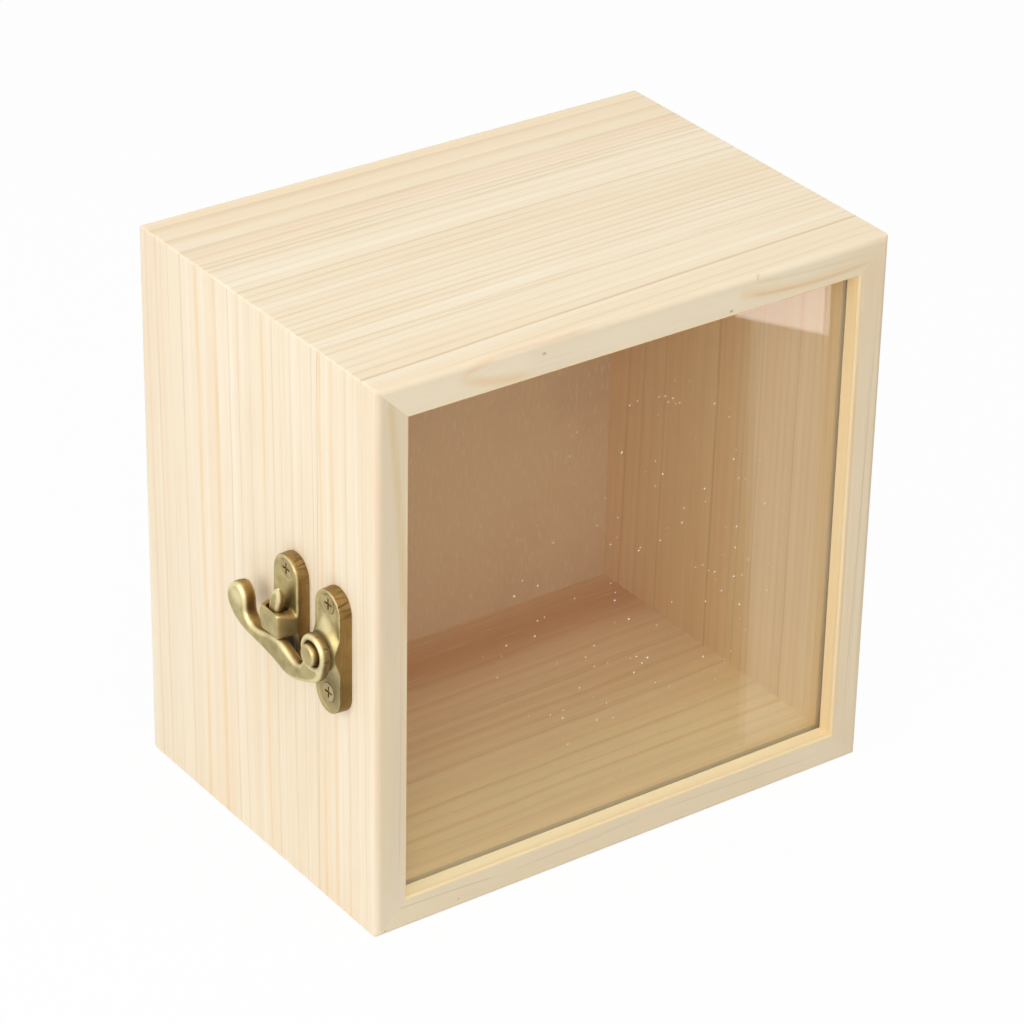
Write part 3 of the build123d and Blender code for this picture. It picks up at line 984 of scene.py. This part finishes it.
@dataclass
class CastPiece:
    """A cast part of the latch, with softened edges, wear, casting marks, painted shade and painted
    highlights.

    Attributes:
        node: The node that it stands for.
        body: What it rides on.
        voxel: The size of its mesh's cells.
        soften: How many rounds take the sharpness off its edges.
        melt: How many more rounds make its section rounder and slimmer.
        fuller: How far its skin grows outwards after that.
        pushes: Local changes of its shape.
        notches: Its casting marks.
        notch_depth: How deep they are.
        painted_shade: Where shade is painted on it.
        painted_highlights: Where highlights are painted on it.
        polish: How strongly its edges are rubbed.
    """

    node: str
    body: str
    voxel: float = 0.11
    soften: int = 6
    melt: int = 0
    fuller: float = 0.0
    pushes: tuple[Push, ...] = ()
    notches: tuple[Notches, ...] = ()
    notch_depth: float = 0.15
    painted_shade: tuple[Patch, ...] = ()
    painted_highlights: tuple[Patch, ...] = ()
    polish: float = 1.0

    BROAD_ROUNDS = 40
    EVEN_ROUNDS = 6
    DARK_AT = 0.12
    BRIGHT_AT = 0.09
    CUT_DARKNESS = 0.75
    SIDE_START = 1.15
    SIDE_SLOPE = 1.7

    def build(self, material: bpy.types.Material) -> bpy.types.Object:
        """Makes the piece and dresses it.

        Args:
            material: Its finish.

        Returns:
            The piece, riding on its body in place of its node.
        """
        mesh = self._remeshed()
        skin = Skin.of(mesh)
        cuts = self._shape(skin)
        proud = self._proud(skin)
        low, high = ([c * MILLIMETRES for c in corner] for corner in CAD_BOX)
        skin.points = skin.points.clip(low, high)
        mesh.vertices.foreach_set("co", (skin.points * METRES).astype(np.float32).ravel())
        # Darker in the hollows and in the casting cuts.
        dark = (-proud / self.DARK_AT).clip(0.0, 1.0) ** 1.3
        dark = np.maximum(dark, cuts * self.CUT_DARKNESS)
        # Rubbed edges, brightest on the hook, whose rub also stands in for the highlight along its ridge;
        # the painted highlights join them below.
        rub_and_highlight = (proud / self.BRIGHT_AT * self.polish).clip(0.0, 1.0)
        # Marks the walls that face away from -X, where the material paints shade.
        side = (self.SIDE_START - np.abs(skin.normals[:, 0]) * self.SIDE_SLOPE).clip(0.0, 1.0)
        self._note(mesh, "rub_and_highlight", self._patched(rub_and_highlight, self.painted_highlights, skin))
        # The hollow attribute also takes the painted shade.
        self._note(mesh, "hollow", self._patched(dark, self.painted_shade, skin))
        self._note(mesh, "side", side)
        mesh.polygons.foreach_set("use_smooth", [True] * len(mesh.polygons))
        mesh.update()
        piece = new_object(f"{self.node}_cast", mesh)
        dress(piece, material)
        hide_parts(self.node)
        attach(piece, self.body)
        LOG.info("%s: %d faces", piece.name, len(mesh.polygons))
        return piece

    def _shape(self, skin: Skin) -> np.ndarray:
        """Softens, swells, pushes and cuts the piece.

        Args:
            skin: The piece, whose points are moved.

        Returns:
            How much of a cut each vertex has, from 0 to 1.
        """
        skin.points = skin.eased(skin.eased(skin.points, self.soften, 0.5, 0.5), self.melt)
        skin.points = skin.points + skin.normals * self.fuller
        for push in self.pushes:
            skin.points = push.moved(skin.points)
        cuts = np.zeros(len(skin.points))
        for notches in self.notches:
            cuts = np.maximum(cuts, notches.depth(skin))
        skin.points = skin.points - skin.normals * (cuts * self.notch_depth)[:, None]
        return cuts

    def _proud(self, skin: Skin) -> np.ndarray:
        """Finds edges and hollows.

        Args:
            skin: The piece in its final shape.

        Returns:
            How far each vertex stands over a much softer copy of the piece.
        """
        broad = skin.eased(skin.points, self.BROAD_ROUNDS)
        proud = ((skin.points - broad) * skin.normals).sum(axis=1)
        return skin.eased(proud[:, None], self.EVEN_ROUNDS)[:, 0]

    @staticmethod
    def _patched(values: np.ndarray, patches: tuple[Patch, ...], skin: Skin) -> np.ndarray:
        """Adds patches to a value.

        Args:
            values: The value at each vertex.
            patches: What to add.
            skin: The piece.

        Returns:
            The larger of the value and the patches' cover.
        """
        for patch in patches:
            values = np.maximum(values, patch.cover(skin.points))
        return values

    def _remeshed(self) -> bpy.types.Mesh:
        """Makes the mesh that the piece starts from.

        Returns:
            The node's mesh in millimetres, with even cells all over.
        """
        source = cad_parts[self.node].data.copy()
        source.transform(Matrix.Diagonal((MILLIMETRES, MILLIMETRES, MILLIMETRES, 1.0)))
        blank = new_object("blank", source)
        remesh = blank.modifiers.new("even", "REMESH")
        remesh.mode = "VOXEL"
        remesh.voxel_size = self.voxel
        bpy.context.view_layer.update()
        graph = bpy.context.evaluated_depsgraph_get()
        mesh = bpy.data.meshes.new_from_object(blank.evaluated_get(graph))
        bpy.data.objects.remove(blank)
        return mesh

    @staticmethod
    def _note(mesh: bpy.types.Mesh, name: str, values: np.ndarray) -> None:
        """Keeps a number for each vertex on the mesh."""
        attribute = mesh.attributes.new(name, "FLOAT", "POINT")
        attribute.data.foreach_set("value", values.astype(np.float32))


@dataclass
class Boards:
    """The boards of the case and of the lid frame, the back board and the pane."""

    def dress(self) -> None:
        """Gives each board the plank that it was cut from."""
        planks = {
            self._left_plank(): ("case_left_board", "lid_left_board"),
            self._top_plank(): ("case_top_board", "lid_top_board"),
            self._right_plank(): ("case_right_board", "lid_right_board"),
            self._bottom_plank(): ("case_bottom_board", "lid_bottom_board"),
            BackBoard(): ("back_panel",),
            ClearPane(): ("pane",),
        }
        for plank, nodes in planks.items():
            material = plank.material()
            for node in nodes:
                dress(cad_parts[node], material)

    @staticmethod
    def _left_plank() -> Pine:
        """Describes the plank of the latch side.

        Returns:
            Its finish.
        """
        tan = (0.74, 0.54, 0.33)
        lines = (
            Line(-31.6, 0.28, 0.34, tan),
            Line(-29.3, 0.28, 0.34, tan),
            Line(-27.0, 0.28, 0.34, tan),
            Line(-23.1, 0.8, 0.5, LATE_ORANGE),
            Line(-19.8, 0.7, 0.65, LATE_ORANGE),
            Line(-17.5, 0.28, 0.45, tan),
            Line(-14.3, 0.3, 0.42, tan),
            Line(-11.3, 0.28, 0.4, tan),
            Line(-8.3, 0.28, 0.34, tan),
            Line(-6.0, 0.28, 0.4, tan),
            Line(-3.1, 0.7, 0.65, LATE_ORANGE),
            Line(0.6, 0.28, 0.36, tan),
            Line(4.2, 0.28, 0.4, tan),
            Line(7.0, 0.3, 0.5, tan),
            Line(11.15, 1.0, 0.6, LATE_ORANGE),
            Line(16.6, 0.9, 0.6, LATE_ORANGE),
            Line(21.3, 0.3, 0.42, tan),
            Line(25.2, 0.3, 0.36, tan),
            Line(28.9, 0.3, 0.42, tan),
            Line(31.95, 0.3, 0.34, tan),
        )
        stains_and_painted_light = (
            StainAndPaintedLight(12.0, 5.0, 0.25, (0.93, 0.68, 0.46)),
            StainAndPaintedLight(30.0, 5.0, 0.22, (0.90, 0.70, 0.50)),
        )
        streaks = (
            Streak((-47.0, 104.0), (-47.0, -4.0), 0.0, 7.0, 0.6, (0.80, 0.68, 0.49), 0.02),
            Streak((-47.6, 98.5), (-44.5, 52.0), 0.5, 1.15, 0.55, (0.78, 0.60, 0.31), 0.05),
            Streak((-46.0, 80.0), (-44.9, 30.0), 0.2, 0.4, 0.3, LATE_ORANGE),
            Streak((-49.7, 96.0), (-49.7, 10.0), 0.3, 0.8, 0.15, LATE_PINK),
            Streak((-48.1, 62.0), (-48.1, 1.5), 0.0, 2.3, 0.3, (0.93, 0.80, 0.50), 0.3),
            Streak((-45.5, 58.0), (-45.6, 4.2), 0.15, 0.22, 0.35, (0.66, 0.52, 0.31), 0.3),
        )
        return Pine(
            "pine_left", Grain.UPRIGHT, bands=(Band(46.0, 1.9), Band(26.0, 1.5)), ring_strength=0.15,
            ring_tint=tan, lines=lines, stains_and_painted_light=stains_and_painted_light, streaks=streaks, stripes=0.28, lean=-0.015,
            wander=0.35, seed=1.0,
        )

    @staticmethod
    def _top_plank() -> Pine:
        """Describes the plank of the top.

        Returns:
            Its finish.
        """
        bands = (
            Band(14.5, 2.05), Band(17.5, 1.52), Band(6.5, 1.75),
            Band(10.0, 2.0), Band(9.0, 2.6), Band(14.0, 4.6),
        )
        lines = (
            Line(-28.4, 0.4, 0.5, LATE_BROWN),
            Line(15.3, 0.4, 0.3, LATE_BROWN),
            Line(17.8, 0.6, 0.22, LATE_PINK),
            Line(20.5, 0.7, 0.25, LATE_PINK),
            Line(26.6, 0.55, 0.4, LATE_ORANGE),
        )
        stains_and_painted_light = (
            StainAndPaintedLight(32.4, 2.6, 0.4, (0.96, 0.76, 0.48)),
            StainAndPaintedLight(19.0, 4.5, 0.3, (0.95, 0.72, 0.52)),
            StainAndPaintedLight(28.0, 7.0, 0.4, (0.93, 0.74, 0.53)),
            StainAndPaintedLight(9.0, 6.0, 0.4, (0.97, 0.88, 0.70)),
            StainAndPaintedLight(-6.0, 11.0, 0.35, (0.90, 0.73, 0.50)),
        )
        streaks = (
            Streak((-56.0, 97.0), (56.0, 97.0), 0.0, 7.0, 0.7, (1.0, 0.90, 0.70), 0.02),
            Streak((-36.5, 98.2), (-20.0, 95.0), -0.9, 1.5, 0.5, (0.90, 0.62, 0.33), 0.35),
            Streak((-35.5, 97.6), (-27.0, 99.8), 0.4, 1.0, 0.4, (0.92, 0.62, 0.38), 0.3),
            Streak((-30.0, 99.8), (-8.0, 99.6), 0.0, 0.6, 0.3, LATE_PINK),
            Streak((18.5, 97.4), (48.5, 96.6), -1.1, 1.7, 0.45, (0.93, 0.68, 0.36), 0.06),
            Streak((20.5, 96.8), (49.0, 96.4), -0.9, 0.55, 0.4, (0.80, 0.52, 0.24), 0.1),
            Streak((21.0, 98.9), (49.0, 97.8), -0.5, 0.5, 0.3, (0.80, 0.60, 0.32), 0.1),
            Streak((22.6, 99.0), (23.4, 99.9), 0.2, 0.35, 0.45, (0.72, 0.45, 0.20)),
        )
        knots = (PinKnot(-19.0, 97.8, 0.62), PinKnot(17.6, 95.0, 0.62))
        return Pine(
            "pine_top", Grain.LEVEL, base=(0.915, 0.778, 0.56), bands=bands, ring_strength=0.62,
            ring_tint=(0.66, 0.47, 0.27), lines=lines, stains_and_painted_light=stains_and_painted_light, streaks=streaks, knots=knots,
            stripes=0.3, lean=-0.018, fan=0.0006, wander=0.4, calm=0.5, seed=2.0,
        )

    @staticmethod
    def _right_plank() -> Pine:
        """Describes the plank of the hinge side.

        Returns:
            Its finish.
        """
        lines = (
            Line(-21.1, 0.45, 0.3, LATE_BROWN),
            Line(-16.8, 0.5, 0.3, LATE_ORANGE),
            Line(-11.6, 0.35, 0.25, LATE_BROWN),
            Line(-7.4, 0.35, 0.25, LATE_BROWN),
            Line(0.4, 0.5, 0.35, LATE_BROWN),
            Line(10.4, 0.6, 0.25, LATE_ORANGE),
            Line(15.0, 0.5, 0.25, LATE_BROWN),
            Line(21.4, 0.4, 0.25, LATE_BROWN),
            Line(25.7, 0.4, 0.2, LATE_BROWN),
        )
        stains_and_painted_light = (
            StainAndPaintedLight(-33.6, 2.4, 0.45, (0.99, 0.76, 0.48)),
            StainAndPaintedLight(-2.5, 5.0, 0.35, (0.90, 0.62, 0.42)),
            StainAndPaintedLight(16.0, 7.0, 0.3, (0.90, 0.78, 0.52)),
        )
        warm_grey = (0.62, 0.51, 0.34)
        streaks = (
            Streak((44.6, 84.0), (44.6, 6.0), 0.1, 0.4, 0.55, (0.90, 0.60, 0.30)),
            Streak((46.0, 60.0), (45.6, 6.0), 0.1, 0.8, 0.3, (0.95, 0.74, 0.42)),
            Streak((48.3, 93.0), (46.4, 3.0), 0.1, 0.22, 0.4, warm_grey),
            Streak((47.4, 90.0), (47.2, 3.0), 0.2, 0.2, 0.25, warm_grey),
            Streak((49.3, 98.0), (48.7, 2.0), 0.1, 0.3, 0.35, warm_grey),
        )
        return Pine(
            "pine_right", Grain.UPRIGHT, base=(0.93, 0.79, 0.56), bands=(Band(20.0, 1.6), Band(52.0, 2.4)),
            ring_strength=0.13, lines=lines, stains_and_painted_light=stains_and_painted_light, streaks=streaks, stripes=0.3, lean=0.015,
            wander=0.5, seed=3.0,
        )

    @staticmethod
    def _bottom_plank() -> Pine:
        """Describes the plank of the bottom.

        Returns:
            Its finish.
        """
        umber = (0.68, 0.45, 0.24)
        lines = (
            Line(-26.6, 0.6, 0.3, LATE_ORANGE),
            Line(-21.6, 0.8, 0.4, LATE_ORANGE),
            Line(-15.0, 0.6, 0.3, umber),
            Line(-11.9, 0.8, 0.3, LATE_ORANGE),
            Line(-7.1, 0.5, 0.32, umber),
            Line(-0.9, 0.9, 0.35, LATE_ORANGE),
            Line(4.6, 0.5, 0.25, umber),
            Line(11.1, 1.2, 0.3, LATE_PINK),
            Line(17.6, 0.5, 0.32, umber),
            Line(22.0, 0.5, 0.2, umber),
            Line(28.0, 0.5, 0.2, umber),
        )
        # Painted light and shade: the first wash makes the front of the floor brighter and the second makes
        # its back darker.
        stains_and_painted_light = (
            StainAndPaintedLight(-22.0, 20.0, 0.8, (1.0, 0.93, 0.68)),
            StainAndPaintedLight(23.0, 13.0, 0.9, (0.72, 0.47, 0.29)),
        )
        streaks = (
            Streak((-48.0, 1.7), (46.0, 1.4), 0.0, 2.2, 0.28, (0.93, 0.81, 0.53), 0.05),
            Streak((-45.6, 4.3), (-24.0, 3.2), 0.2, 0.25, 0.5, (0.66, 0.54, 0.33), 0.03),
            Streak((-26.0, 3.3), (8.0, 4.4), -0.3, 0.45, 0.3, (0.74, 0.60, 0.36)),
            Streak((2.0, 4.3), (45.5, 2.5), 0.2, 0.3, 0.3, (0.72, 0.58, 0.35)),
        )
        knots = (PinKnot(-33.8, 1.8, 0.35), PinKnot(-48.2, 1.0, 0.4))
        return Pine(
            "pine_bottom", Grain.LEVEL, bands=(Band(72.0, 3.0),), ring_strength=0.16, lines=lines,
            stains_and_painted_light=stains_and_painted_light, streaks=streaks, knots=knots, stripes=0.4, lean=-0.02, wander=1.0, seed=4.0,
        )


@dataclass
class Latch:
    """The cast hook, its two plates, its rivet and the screws.

    Attributes:
        pivot_y: The middle of the pivot plate and of the rivet.
        catch_y: The middle of the catch plate.
        rivet_z: The rivet's height.
        end_radius: The round end of both plates.
    """

    pivot_y: float
    catch_y: float
    rivet_z: float
    end_radius: float

    @classmethod
    def measured(cls) -> "Latch":
        """Reads the latch's places off the frame.

        Returns:
            The latch, not yet built.
        """
        low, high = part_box("pivot_plate")
        return cls(
            pivot_y=middle_of("pivot_plate").y,
            catch_y=middle_of("catch_plate").y,
            rivet_z=middle_of("latch_rivet").z,
            end_radius=(high.y - low.y) * MILLIMETRES / 2,
        )

    def build(self) -> None:
        """Makes the cast pieces and dresses the screws."""
        brass = AntiqueBrass("latch_brass").material()
        for part in (self._pivot_plate(), self._catch_plate(), self._hook(), self._rivet()):
            part.build(brass)
        screws = AntiqueBrass("screw_brass", face=SCREW_FACE, roughness=0.38, worn_and_shaded=False).material()
        for node in ("pivot_plate_screws", "catch_plate_screws"):
            dress(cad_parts[node], screws)

    def _plate_marks(self, node: str, middle: float, seed: int) -> Notches:
        """The casting marks round the upper end of a plate."""
        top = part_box(node)[1].z * MILLIMETRES - self.end_radius
        return Notches(middle, top, first=-95, last=60, count=19, reach=self.end_radius + 0.6, seed=seed)

    def _pivot_plate(self) -> CastPiece:
        """Describes the plate on the lid, with painted shade round its boss and low on its face and a
        painted highlight at its waist.

        Returns:
            The piece, not yet built.
        """
        # Painted shade round the boss and low on the face, and a painted highlight at the waist.
        boss_ring = Patch((-53.4, self.pivot_y, self.rivet_z), reach=0.32, strength=0.95, ring=3.15)
        low_spot = Patch((-52.2, self.pivot_y - 1.2, 43.6), reach=3.6, strength=0.6)
        waist_highlight = Patch((-52.3, self.pivot_y + 0.8, 54.8), reach=2.8, strength=1.0)
        return CastPiece(
            "pivot_plate", "lid", soften=14, polish=0.5, painted_shade=(boss_ring, low_spot), painted_highlights=(waist_highlight,),
            notches=(self._plate_marks("pivot_plate", self.pivot_y, 11),),
        )

    def _catch_plate(self) -> CastPiece:
        """Describes the plate on the case, with painted shade under and beside its socket block.

        Returns:
            The piece, not yet built.
        """
        block_bulge = Push((-54.0, self.catch_y + 2.6, 50.6), reach=1.9, by=(0.0, 1.1, 0.0))
        # Painted shade under the socket block and on its flank.
        block_shade = Patch((-52.2, self.catch_y - 1.6, 46.2), reach=2.8, strength=1.0)
        block_flank = Patch((-53.2, self.catch_y - 2.8, 50.0), reach=2.0, strength=0.6)
        return CastPiece(
            "catch_plate", "case", soften=24, melt=36, fuller=0.1, polish=0.5, pushes=(block_bulge,),
            painted_shade=(block_shade, block_flank), notches=(self._plate_marks("catch_plate", self.catch_y, 12),),
        )

    def _hook(self) -> CastPiece:
        """Describes the hook, with painted shade in and beside its eye, on its arm and by its prong, and a
        painted highlight on the finger curl.

        Returns:
            The piece, not yet built.
        """
        curl_bulge = Push((-54.8, -0.4, 51.6), reach=2.6, by=(-0.2, 0.45, 0.1))
        # Painted shade in and beside the eye, on the arm and by the prong, and a painted highlight on the
        # curl.
        eye_recess = Patch((-54.9, self.pivot_y, self.rivet_z), reach=0.6, strength=0.95, ring=2.1)
        eye_flank = Patch((-53.6, self.pivot_y, self.rivet_z), reach=1.0, strength=0.6, ring=3.1)
        arm_shade = Patch((-55.8, -13.5, 46.0), reach=3.8, strength=0.26)
        low_arm_shade = Patch((-55.8, -20.9, 45.0), reach=2.6, strength=0.18)
        prong_shade = Patch((-54.5, self.catch_y, 53.7), reach=1.6, strength=0.22)
        curl_highlight = Patch((-56.0, -3.0, 50.6), reach=3.2, strength=1.0)
        eye_marks = Notches(self.pivot_y, self.rivet_z, first=-100, last=40, count=12, reach=3.7, seed=13)
        curl_marks = Notches(-1.6, 50.5, first=-70, last=60, count=6, reach=3.4, seed=14)
        return CastPiece(
            "latch_hook", "hook", soften=20, melt=52, fuller=0.26, polish=1.05, pushes=(curl_bulge,),
            painted_shade=(eye_recess, eye_flank, arm_shade, low_arm_shade, prong_shade), painted_highlights=(curl_highlight,),
            notches=(eye_marks, curl_marks),
        )

    def _rivet(self) -> CastPiece:
        """The rivet, a little crooked."""
        lean = Push((-56.2, self.pivot_y, self.rivet_z), reach=2.4, by=(0.0, 0.3, -0.2))
        return CastPiece("latch_rivet", "lid", voxel=0.09, soften=14, melt=12, fuller=0.05, pushes=(lean,))


@dataclass
class Hinges:
    """The two butt hinges with their pins and screws."""

    levels: tuple[str, ...] = ("lower", "upper")

    def dress(self) -> None:
        """Gives leaves, pins and screws their brass."""
        leaf = AntiqueBrass("hinge_brass", worn_and_shaded=False).material()
        screws = AntiqueBrass("hinge_screw_brass", face=SCREW_FACE, worn_and_shaded=False).material()
        for level in self.levels:
            for name in ("case_leaf", "lid_leaf", "pin"):
                dress(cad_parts[f"{level}_hinge_{name}"], leaf)
            for name in ("case_screws", "lid_screws"):
                dress(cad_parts[f"{level}_hinge_{name}"], screws)


@dataclass(frozen=True)
class SoftBox:
    """A square lamp.

    Attributes:
        name: Its name.
        place: Its middle.
        size: Its side.
        watts: Its power.
    """

    name: str
    place: Place
    size: float
    watts: float

    def light(self, aim: Place) -> None:
        """Puts the lamp up.

        Args:
            aim: The point that it faces.
        """
        lamp = bpy.data.lights.new(self.name, "AREA")
        lamp.shape = "SQUARE"
        lamp.size = self.size * METRES
        lamp.energy = self.watts
        holder = new_object(self.name, lamp)
        holder.location = Vector(self.place) * METRES
        towards = (Vector(aim) - Vector(self.place)).to_track_quat("-Z", "Y")
        holder.rotation_mode = "QUATERNION"
        holder.rotation_quaternion = towards


@dataclass(frozen=True)
class GlossCard:
    """A flat card that only reflections show.

    Attributes:
        name: Its name.
        corners: Its corners, in order.
        strength: How bright it is.
        tint: Its colour.
    """

    name: str
    corners: tuple[Place, ...]
    strength: float
    tint: Colour = (1.0, 1.0, 1.0)

    def build(self) -> None:
        """Makes the card, which only reflections see."""
        mesh = bpy.data.meshes.new(self.name)
        mesh.from_pydata([Vector(c) * METRES for c in self.corners], [], [range(len(self.corners))])
        card = new_object(self.name, mesh)
        material, graph = new_material(self.name)
        glow = graph.add("ShaderNodeEmission", values={"Color": _rgba(self.tint), "Strength": self.strength})
        graph.surface(glow)
        dress(card, material)
        for ray in ("camera", "diffuse", "shadow", "transmission", "volume_scatter"):
            setattr(card, f"visible_{ray}", False)


FLAG_GLOW = 0.25
FLAG_TINT: Colour = (1.0, 0.95, 0.9)
WHITE = (1.0, 1.0, 1.0, 1.0)


@dataclass
class Studio:
    """A white floor, soft lamps and the camera.

    Attributes:
        floor_half: Half the floor's side.
        floor_glow: How much of what the camera sees of the floor is plain white.
        ambient: How bright the surroundings are to a dull surface.
        lamps: The lamps.
        cards: What the pane mirrors.
        aim: What the lamps face.
        eye: Where the camera stands.
        angles: Its turns about X, Y and Z, in degrees.
        lens: Its focal length for a frame 36 mm wide.
    """

    floor_half: float = 3000.0
    floor_glow: float = 0.96
    ambient: float = 0.35
    lamps: tuple[SoftBox, ...] = (
        SoftBox("left_softbox", (-620.0, -60.0, 260.0), 500.0, 1.6),
        SoftBox("top_softbox", (0.0, 0.0, 800.0), 700.0, 2.1),
        SoftBox("high_front_softbox", (60.0, -420.0, 680.0), 600.0, 0.9),
        SoftBox("camera_side_softbox", (-420.0, -560.0, 480.0), 400.0, 1.3),
    )
    cards: tuple[GlossCard, ...] = (
        GlossCard(
            "near_flag",
            (
                (-70.0, -36.0, 0.3), (31.0, -36.0, 0.3), (66.6, -79.7, 0.3), (135.7, -165.7, 0.3),
                (151.6, -193.6, 0.3), (118.6, -400.0, 0.3), (-70.0, -400.0, 0.3),
            ),
            FLAG_GLOW, FLAG_TINT,
        ),
        GlossCard(
            "far_flag",
            (
                (45.5, -36.0, 0.3), (76.7, -72.9, 0.3), (146.5, -155.3, 0.3), (169.2, -182.2, 0.3),
                (260.0, -182.0, 0.3), (260.0, -36.0, 0.3),
            ),
            FLAG_GLOW, FLAG_TINT,
        ),
        GlossCard(
            "corner_card",
            ((135.5, -172.9, 0.5), (146.5, -155.3, 0.5), (169.2, -182.2, 0.5), (151.6, -193.6, 0.5)),
            4.0, (1.0, 0.93, 0.95),
        ),
    )
    aim: Place = (0.0, 0.0, 50.0)
    eye: Place = (-354.81, -494.02, 390.79)
    angles: Place = (60.5476, -0.9699, -35.1861)
    lens: float = 146.02

    def build(self) -> None:
        """Sets up everything round the box."""
        self._world()
        self._floor()
        for lamp in self.lamps:
            lamp.light(self.aim)
        for card in self.cards:
            card.build()
        self._camera()
        bpy.context.scene.view_settings.view_transform = "Standard"

    @staticmethod
    def _seen(graph: Graph) -> Wire:
        """Tells rays that see the background from those that only light things.

        Args:
            graph: The graph that asks.

        Returns:
            1 for the first kind, 0 for the second.
        """
        rays = graph.add("ShaderNodeLightPath").socket.node.outputs
        sight = [Wire(graph, rays[f"Is {kind} Ray"]) for kind in ("Camera", "Glossy", "Transmission")]
        return sight[0].most(sight[1]).most(sight[2])

    def _world(self) -> None:
        """White surroundings, dimmer to what they light."""
        world = bpy.data.worlds.new("surroundings")
        world.use_nodes = True
        bpy.context.scene.world = world
        graph = Graph(world.node_tree)
        seen = self._seen(graph)
        strength = seen * (1.0 - self.ambient) + self.ambient
        sky = graph.add("ShaderNodeBackground", values={"Color": WHITE, "Strength": strength})
        graph.add("ShaderNodeOutputWorld", values={"Surface": sky})

    def _floor(self) -> None:
        """A pale floor that keeps a faint shadow."""
        half = self.floor_half * METRES
        mesh = bpy.data.meshes.new("floor")
        corners = [(-half, -half, 0), (half, -half, 0), (half, half, 0), (-half, half, 0)]
        mesh.from_pydata(corners, [], [range(4)])
        floor = new_object("floor", mesh)
        material, graph = new_material("floor")
        dull = graph.add("ShaderNodeBsdfDiffuse", values={"Color": (0.85, 0.85, 0.85, 1.0)})
        glow = graph.add("ShaderNodeEmission", values={"Color": WHITE, "Strength": 1.0})
        share = self._seen(graph) * self.floor_glow
        graph.surface(graph.add("ShaderNodeMixShader", values={0: share, 1: dull, 2: glow}))
        dress(floor, material)

    def _camera(self) -> None:
        """The camera, at the photographed angle."""
        camera = bpy.data.cameras.new("camera")
        camera.sensor_width = 36.0
        camera.lens = self.lens
        holder = new_object("camera", camera)
        holder.location = Vector(self.eye) * METRES
        holder.rotation_euler = Euler([math.radians(a) for a in self.angles], "XYZ")
        bpy.context.scene.camera = holder


def main() -> None:
    """Builds and dresses the whole box in its studio."""
    logging.basicConfig(level=logging.INFO, format="%(message)s")
    Studio().build()
    Boards().dress()
    Latch.measured().build()
    Hinges().dress()


if __name__ == "__main__":
    main()
